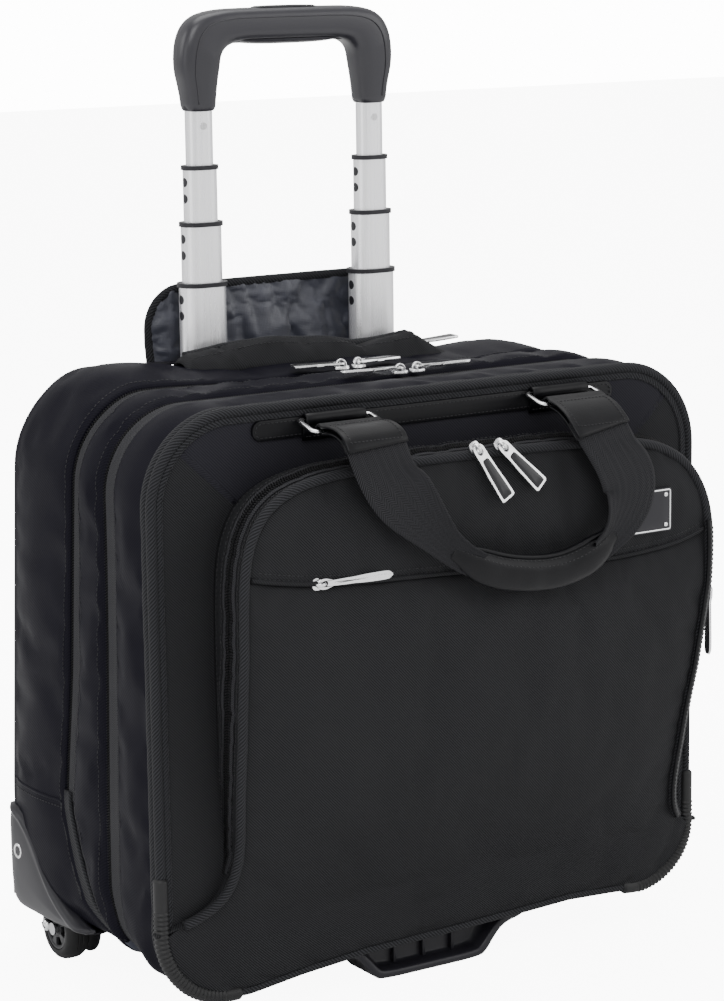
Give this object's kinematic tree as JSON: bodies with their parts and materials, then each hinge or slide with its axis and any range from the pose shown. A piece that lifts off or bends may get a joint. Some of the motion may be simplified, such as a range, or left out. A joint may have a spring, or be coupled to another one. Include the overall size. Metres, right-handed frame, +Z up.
{
  "type": "rolling laptop case",
  "caption": "Soft-sided rolling laptop case with telescopic handle, fold-up carry handle, zipped front section, wheels and a front foot.",
  "frame": {"origin": "on the floor, under the middle of the outline seen from above, carry handle and wheel guards included", "axes": "+X to the case's right seen from the front, -Y out of the front pocket, +Z up"},
  "size_m": [0.439, 0.2764, 0.6528],
  "materials": {
    "nylon": "smooth ballistic nylon, near black",
    "twill": "black twill weave",
    "piping": "twill-wrapped piping cord",
    "lining": "grey crinkled nylon lining",
    "webbing": "black herringbone webbing",
    "leather": "smooth black leather, stitched",
    "board": "black sheet plastic",
    "moulded": "satin moulded plastic",
    "grip": "soft-touch grip",
    "guard": "ribbed black rubber",
    "tube": "satin anodised aluminium",
    "steel": "bright nickel plate",
    "bare_steel": "zinc plated steel",
    "tyre": "matt black tyre",
    "hub": "moulded hub"
  },
  "bodies": {
    "case": {"rear_shell": "nylon", "middle_shell": "nylon", "bottom_panel": "twill", "base_board": "board", "back_board": "board", "laptop_sleeve": "lining", "divider_panel": "lining", "handle_cup": "moulded", "well_lip": "piping", "handle_base": "moulded", "outer_tubes": "tube", "outer_bushings": "moulded", "wheel_housings": "moulded", "housing_rivets": "steel", "axles": "bare_steel", "front_foot": "moulded", "foot_screws": "bare_steel", "rear_sliders": "steel"},
    "front_section": {"front_shell": "twill", "front_pocket": "twill", "front_piping": "piping", "pocket_piping": "piping", "corner_guards": "guard", "yoke_strip": "leather", "badge_plate": "moulded", "organiser_panel": "lining", "front_sliders": "steel"},
    "strap_rings": {"rings": "steel"},
    "carry_handle": {"strap_tabs": "leather", "carry_strap": "webbing", "carry_grip": "leather"},
    "handle_stage_1": {"stage_1_tubes": "tube", "stage_1_bushings": "moulded"},
    "handle_stage_2": {"stage_2_tubes": "tube", "stage_2_bushings": "moulded"},
    "handle_stage_3": {"stage_3_tubes": "tube", "stage_3_bushings": "moulded"},
    "handle_grip": {"top_tubes": "tube", "grip_body": "grip", "grip_pad": "grip", "grip_rivets": "steel"},
    "handle_release": {"release_button": "grip", "release_rods": "bare_steel"},
    "left_wheel": {"tyre_left": "tyre", "hub_left": "hub"},
    "right_wheel": {"tyre_right": "tyre", "hub_right": "hub"},
    "well_flap": {"handle_flap": "lining"},
    "main_zip_left": {"main_slider_left": "steel"},
    "main_zip_right": {"main_slider_right": "steel"},
    "main_tab_left": {"main_pull_left": "steel"},
    "main_tab_right": {"main_pull_right": "steel"},
    "rear_tab_left": {"rear_pull_left": "steel"},
    "rear_tab_right": {"rear_pull_right": "steel"},
    "pocket_tab_left": {"pocket_pull_left": "steel"},
    "pocket_tab_right": {"pocket_pull_right": "steel"},
    "slot_zip": {"slot_slider": "steel"},
    "slot_tab": {"slot_pull": "steel"},
    "side_tab": {"side_pull": "steel"},
    "flap_tab": {"flap_pull": "steel"}
  },
  "joints": [
    {"name": "front_section_open", "type": "hinge", "parent": "case", "child": "front_section", "pos_m": [0, -0.07275, 0.025], "axis": [1, 0, 0], "range_deg": [0, 55]},
    {"name": "ring_swing", "type": "hinge", "parent": "front_section", "child": "strap_rings", "pos_m": [0, -0.08095, 0.396], "axis": [-1, 0, 0], "range_deg": [0, 90]},
    {"name": "carry_handle_swing", "type": "hinge", "parent": "strap_rings", "child": "carry_handle", "pos_m": [0, -0.09925, 0.391], "axis": [-1, 0, 0], "range_deg": [0, 70]},
    {"name": "handle_stage_1_slide", "type": "slide", "parent": "case", "child": "handle_stage_1", "axis": [0, 0, 1], "range_m": [-0.152, 0.008]},
    {"name": "handle_stage_2_slide", "type": "slide", "parent": "handle_stage_1", "child": "handle_stage_2", "axis": [0, 0, 1], "range_m": [-0.033, 0.125]},
    {"name": "handle_stage_3_slide", "type": "slide", "parent": "handle_stage_2", "child": "handle_stage_3", "axis": [0, 0, 1], "range_m": [-0.03, 0.125]},
    {"name": "handle_grip_slide", "type": "slide", "parent": "handle_stage_3", "child": "handle_grip", "axis": [0, 0, 1], "range_m": [-0.024, 0.12]},
    {"name": "release_button_press", "type": "slide", "parent": "handle_grip", "child": "handle_release", "axis": [0, 0, -1], "range_m": [0, 0.003]},
    {"name": "left_wheel_spin", "type": "hinge", "parent": "case", "child": "left_wheel", "pos_m": [-0.196, 0.09925, 0.0225], "axis": [1, 0, 0], "continuous": true},
    {"name": "right_wheel_spin", "type": "hinge", "parent": "case", "child": "right_wheel", "pos_m": [0.196, 0.09925, 0.0225], "axis": [1, 0, 0], "continuous": true},
    {"name": "well_flap_fold", "type": "hinge", "parent": "case", "child": "well_flap", "pos_m": [0, 0.12925, 0.4082], "axis": [-1, 0, 0], "range_deg": [0, 110]},
    {"name": "main_zip_left_slide", "type": "slide", "parent": "case", "child": "main_zip_left", "axis": [-1, 0, 0], "range_m": [0, 0.15]},
    {"name": "main_zip_right_slide", "type": "slide", "parent": "case", "child": "main_zip_right", "axis": [1, 0, 0], "range_m": [0, 0.15]},
    {"name": "main_tab_left_flip", "type": "hinge", "parent": "main_zip_left", "child": "main_tab_left", "pos_m": [0.016, -0.01075, 0.4103], "axis": [0.1392, 0.9903, 0], "range_deg": [0, 95]},
    {"name": "main_tab_right_flip", "type": "hinge", "parent": "main_zip_right", "child": "main_tab_right", "pos_m": [0.03, -0.01075, 0.4103], "axis": [-0.0698, -0.9976, 0], "range_deg": [0, 95]},
    {"name": "rear_tab_left_flip", "type": "hinge", "parent": "case", "child": "rear_tab_left", "pos_m": [-0.004, 0.04025, 0.4103], "axis": [0.2079, 0.9781, 0], "range_deg": [0, 95]},
    {"name": "rear_tab_right_flip", "type": "hinge", "parent": "case", "child": "rear_tab_right", "pos_m": [0.01, 0.04025, 0.4103], "axis": [0.1736, -0.9848, 0], "range_deg": [0, 95]},
    {"name": "pocket_tab_left_flip", "type": "hinge", "parent": "front_section", "child": "pocket_tab_left", "pos_m": [0.004, -0.11955, 0.371], "axis": [-0.8829, -0.1136, -0.4555], "range_deg": [0, 120]},
    {"name": "pocket_tab_right_flip", "type": "hinge", "parent": "front_section", "child": "pocket_tab_right", "pos_m": [0.024, -0.11955, 0.371], "axis": [-0.7431, -0.1619, -0.6493], "range_deg": [0, 120]},
    {"name": "slot_zip_slide", "type": "slide", "parent": "front_section", "child": "slot_zip", "axis": [1, 0, 0], "range_m": [0, 0.19]},
    {"name": "slot_tab_flip", "type": "hinge", "parent": "slot_zip", "child": "slot_tab", "pos_m": [-0.117, -0.11775, 0.296], "axis": [0, 0, -1], "range_deg": [0, 150]},
    {"name": "side_tab_flip", "type": "hinge", "parent": "front_section", "child": "side_tab", "pos_m": [0.207, -0.10475, 0.246], "axis": [0, -1, 0], "range_deg": [0, 150]},
    {"name": "flap_tab_flip", "type": "hinge", "parent": "case", "child": "flap_tab", "pos_m": [0.104, 0.11725, 0.4103], "axis": [-0.0349, -0.9994, 0], "range_deg": [0, 95]}
  ]
}
